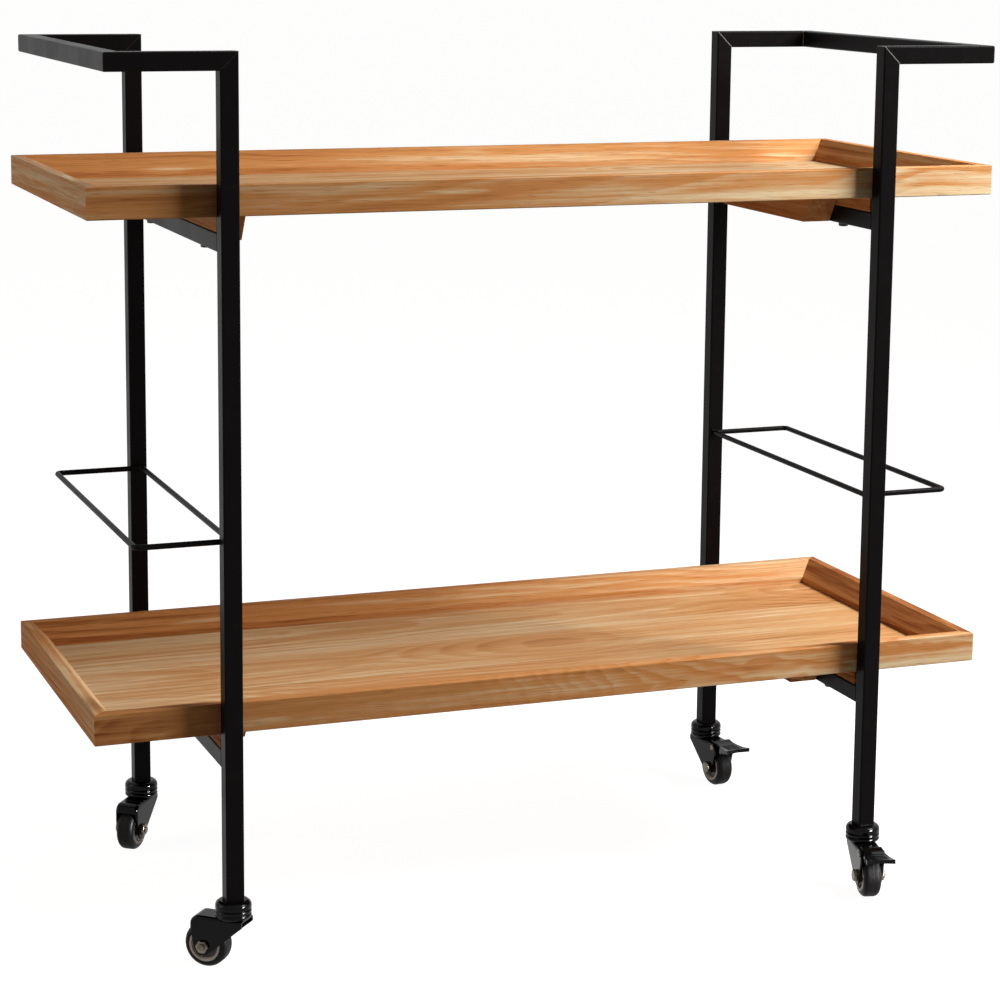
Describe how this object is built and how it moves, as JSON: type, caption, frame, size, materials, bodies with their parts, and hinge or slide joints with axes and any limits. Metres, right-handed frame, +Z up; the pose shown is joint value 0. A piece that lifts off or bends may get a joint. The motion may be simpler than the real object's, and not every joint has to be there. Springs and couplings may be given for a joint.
{
  "type": "bar cart",
  "caption": "Bar cart with bevelled wooden trays on a black square-tube frame, handles and wire racks at both ends, and swivel casters, some with brake pedals.",
  "frame": {"origin": "on the floor under the centre of the frame", "axes": "+X along the cart towards the end with the brakes, +Y towards the rear, +Z up"},
  "size_m": [0.842, 0.4326, 0.787],
  "materials": {
    "frame_black": "satin powder coat",
    "wood": "oiled warm brown hardwood",
    "plug_black": "moulded",
    "screw_black": "black zinc",
    "caster_black": "gloss black",
    "zinc": "bright zinc",
    "hub_grey": "moulded, pale raised ring",
    "tyre_black": "smooth rubber"
  },
  "bodies": {
    "frame": {"arm_front_left": "frame_black", "arm_front_right": "frame_black", "arm_rear_left": "frame_black", "arm_rear_right": "frame_black", "caster_domes": "caster_black", "caster_stems": "zinc", "cleat_lower_left": "wood", "cleat_lower_right": "wood", "cleat_upper_left": "wood", "cleat_upper_right": "wood", "floor_lower": "wood", "floor_upper": "wood", "handle_bar_left": "frame_black", "handle_bar_right": "frame_black", "post_front_left": "frame_black", "post_front_right": "frame_black", "post_plugs": "plug_black", "post_rear_left": "frame_black", "post_rear_right": "frame_black", "rack_left": "frame_black", "rack_right": "frame_black", "rail_lower_left": "frame_black", "rail_lower_right": "frame_black", "rail_upper_left": "frame_black", "rail_upper_right": "frame_black", "rim_lower_front": "wood", "rim_lower_left": "wood", "rim_lower_rear": "wood", "rim_lower_right": "wood", "rim_upper_front": "wood", "rim_upper_left": "wood", "rim_upper_rear": "wood", "rim_upper_right": "wood", "screws_lower": "screw_black", "screws_upper": "screw_black", "strip_lower_left": "wood", "strip_lower_right": "wood", "strip_upper_left": "wood", "strip_upper_right": "wood"},
    "fork_front_left": {"fork_front_left": "caster_black", "axle_front_left": "zinc"},
    "wheel_front_left": {"hub_front_left": "hub_grey", "tyre_front_left": "tyre_black"},
    "fork_rear_left": {"fork_rear_left": "caster_black", "axle_rear_left": "zinc"},
    "wheel_rear_left": {"hub_rear_left": "hub_grey", "tyre_rear_left": "tyre_black"},
    "fork_front_right": {"fork_front_right": "caster_black", "axle_front_right": "zinc", "pin_front_right": "zinc"},
    "wheel_front_right": {"hub_front_right": "hub_grey", "tyre_front_right": "tyre_black"},
    "pedal_front_right": {"pedal_front_right": "caster_black"},
    "fork_rear_right": {"fork_rear_right": "caster_black", "axle_rear_right": "zinc", "pin_rear_right": "zinc"},
    "wheel_rear_right": {"hub_rear_right": "hub_grey", "tyre_rear_right": "tyre_black"},
    "pedal_rear_right": {"pedal_rear_right": "caster_black"}
  },
  "joints": [
    {"name": "swivel_front_left", "type": "hinge", "parent": "frame", "child": "fork_front_left", "pos_m": [-0.3045, -0.174, 0.05], "axis": [0, 0, 1], "continuous": true},
    {"name": "roll_front_left", "type": "hinge", "parent": "fork_front_left", "child": "wheel_front_left", "pos_m": [-0.32261, -0.15826, 0.02], "axis": [-0.6561, -0.7547, 0], "continuous": true},
    {"name": "swivel_rear_left", "type": "hinge", "parent": "frame", "child": "fork_rear_left", "pos_m": [-0.3045, 0.174, 0.05], "axis": [0, 0, 1], "continuous": true},
    {"name": "roll_rear_left", "type": "hinge", "parent": "fork_rear_left", "child": "wheel_rear_left", "pos_m": [-0.31894, 0.15483, 0.02], "axis": [0.7986, -0.6018, 0], "continuous": true},
    {"name": "swivel_front_right", "type": "hinge", "parent": "frame", "child": "fork_front_right", "pos_m": [0.3045, -0.174, 0.05], "axis": [0, 0, 1], "continuous": true},
    {"name": "roll_front_right", "type": "hinge", "parent": "fork_front_right", "child": "wheel_front_right", "pos_m": [0.2991, -0.19739, 0.02], "axis": [0.9744, -0.225, 0], "continuous": true},
    {"name": "brake_front_right", "type": "hinge", "parent": "fork_front_right", "child": "pedal_front_right", "pos_m": [0.29719, -0.20567, 0.0432], "axis": [0.9744, -0.225, 0], "range_deg": [0, 20]},
    {"name": "swivel_rear_right", "type": "hinge", "parent": "frame", "child": "fork_rear_right", "pos_m": [0.3045, 0.174, 0.05], "axis": [0, 0, 1], "continuous": true},
    {"name": "roll_rear_right", "type": "hinge", "parent": "fork_rear_right", "child": "wheel_rear_right", "pos_m": [0.30701, 0.15013, 0.02], "axis": [0.9945, 0.1045, 0], "continuous": true},
    {"name": "brake_rear_right", "type": "hinge", "parent": "fork_rear_right", "child": "pedal_rear_right", "pos_m": [0.3079, 0.14168, 0.0432], "axis": [0.9945, 0.1045, 0], "range_deg": [0, 20]}
  ]
}
